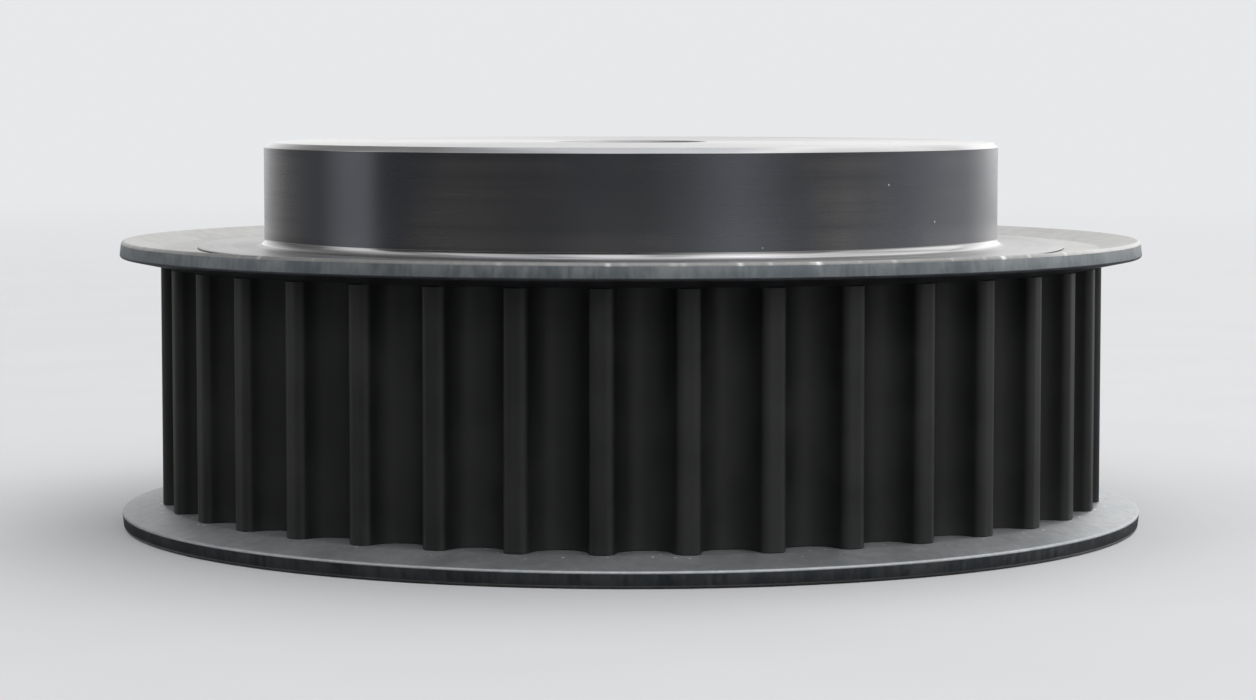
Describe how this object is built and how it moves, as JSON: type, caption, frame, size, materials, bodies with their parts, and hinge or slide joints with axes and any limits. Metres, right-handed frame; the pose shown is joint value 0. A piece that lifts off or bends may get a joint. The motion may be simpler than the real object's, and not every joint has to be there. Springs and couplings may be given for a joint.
{
  "type": "timing belt pulley",
  "caption": "Flanged steel timing belt pulley with round-bottomed tooth gaps, two pressed side flanges, a hub on one side and a plain pilot bore.",
  "frame": {"origin": "on the pulley's axis, in the plane that the lower flange's rim stands on", "axes": "+Z along the bore axis, from the plain side towards the hub; a tooth tip points along -Y"},
  "size_m": [0.1034, 0.1034, 0.0386],
  "materials": {
    "body_steel": "turned steel, blackened on the teeth and the hub's side, bare on the end faces and edges",
    "flange_steel": "satin zinc-grey pressed sheet steel with a sheared rim"
  },
  "bodies": {
    "root": {"toothed_body": "body_steel", "hub_side_flange": "flange_steel", "plain_side_flange": "flange_steel"}
  },
  "joints": []
}
